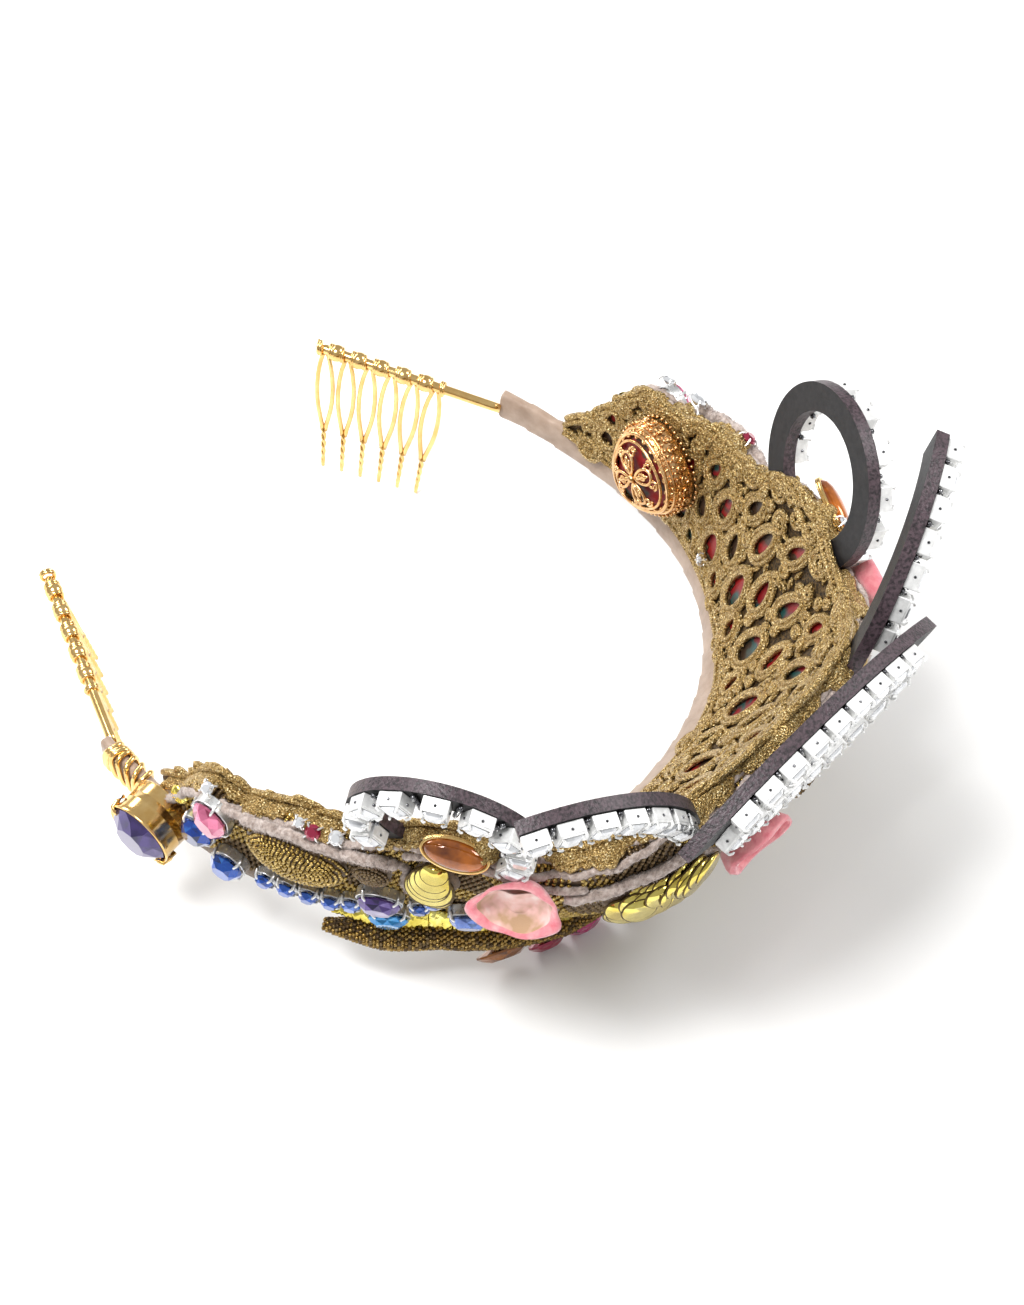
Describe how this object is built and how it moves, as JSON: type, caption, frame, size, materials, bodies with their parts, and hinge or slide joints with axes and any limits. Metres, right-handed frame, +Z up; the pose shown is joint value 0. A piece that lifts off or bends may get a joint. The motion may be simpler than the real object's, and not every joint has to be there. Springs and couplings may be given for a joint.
{
  "type": "diadem",
  "caption": "Baroque diadem: wrapped band, flared gold-lace wall padded with beads, gems and flowers, crest of black plates with square crystals, wire comb at each end.",
  "frame": {"origin": "middle of the bounding box on the ground the diadem rests on", "axes": "+Z up, -Y the diadem's front, +X the wearer's left"},
  "size_m": [0.1624, 0.1898, 0.1036],
  "materials": {
    "satin_ribbon": "glossy woven satin wrap",
    "felt_backing": "dark padded felt",
    "gold_lace": "metallic gold cord",
    "gilt_wire": "bright gilt",
    "bronze_beads": "glossy bronze bugle beads",
    "chenille": "short soft pile",
    "seed_beads": "glossy bronze-gold seed beads",
    "gold_sequins": "mirror gold sequins",
    "gold_foil": "crinkled metallised cloth",
    "pink_flock": "soft flock over a pale inside",
    "amber_cabochon": "polished",
    "gilt_filigree": "bright gilt, pierced",
    "black_acrylic": "satin black, ribbed cut edge",
    "silver_settings": "silver plated",
    "crystal": "clear foil-backed cut glass",
    "gilt_bezel": "bright gilt",
    "lilac_stone": "foil-backed cut glass",
    "silver_claws": "silver plated",
    "chain_stone": "foil-backed cut glass",
    "hem_stone": "foil-backed cut glass, red to amber",
    "royal_stone": "foil-backed cut glass",
    "blue_stone": "foil-backed cut glass",
    "pink_stone": "foil-backed cut glass",
    "violet_stone": "foil-backed cut glass",
    "aqua_stone": "foil-backed cut glass",
    "sky_stone": "foil-backed cut glass"
  },
  "bodies": {
    "root": {"headband": "satin_ribbon", "backing": "felt_backing", "lace_lining": "gold_lace", "comb_left": "gilt_wire", "comb_right": "gilt_wire", "hem_roll": "bronze_beads", "piping_left": "chenille", "piping_right": "chenille", "bead_pad_left": "seed_beads", "bead_pad_right": "seed_beads", "sequin_pad_left": "gold_sequins", "sequin_pad_right": "gold_sequins", "foil_pad_left": "gold_foil", "foil_pad_right": "gold_foil", "flower_left": "pink_flock", "flower_right": "pink_flock", "flower_front": "pink_flock", "amber_left": "amber_cabochon", "amber_right": "amber_cabochon", "filigree_boss": "gilt_filigree", "ring_plate_left": "black_acrylic", "ring_plate_right": "black_acrylic", "horn_plate_left": "black_acrylic", "horn_plate_right": "black_acrylic", "oval_plate": "black_acrylic", "ring_settings_left": "silver_settings", "ring_settings_right": "silver_settings", "horn_settings_left": "silver_settings", "horn_settings_right": "silver_settings", "oval_settings": "silver_settings", "crest_crystals_left": "crystal", "crest_crystals_right": "crystal", "oval_crystals": "crystal", "end_bezel": "gilt_bezel", "end_stone": "lilac_stone", "claw_cups_left": "silver_claws", "claw_cups_right": "silver_claws", "cup_chain_left": "silver_claws", "cup_chain_right": "silver_claws", "chain_stones_left": "chain_stone", "chain_stones_right": "chain_stone", "hem_stones_left": "hem_stone", "hem_stones_right": "hem_stone", "royal_round_left": "royal_stone", "royal_round_right": "royal_stone", "blue_round_left": "blue_stone", "blue_round_right": "blue_stone", "pink_pear_left": "pink_stone", "pink_pear_right": "pink_stone", "violet_oval_left": "violet_stone", "violet_oval_right": "violet_stone", "aqua_oval_left": "aqua_stone", "aqua_oval_right": "aqua_stone", "sky_oval_left": "sky_stone", "sky_oval_right": "sky_stone"}
  },
  "joints": []
}
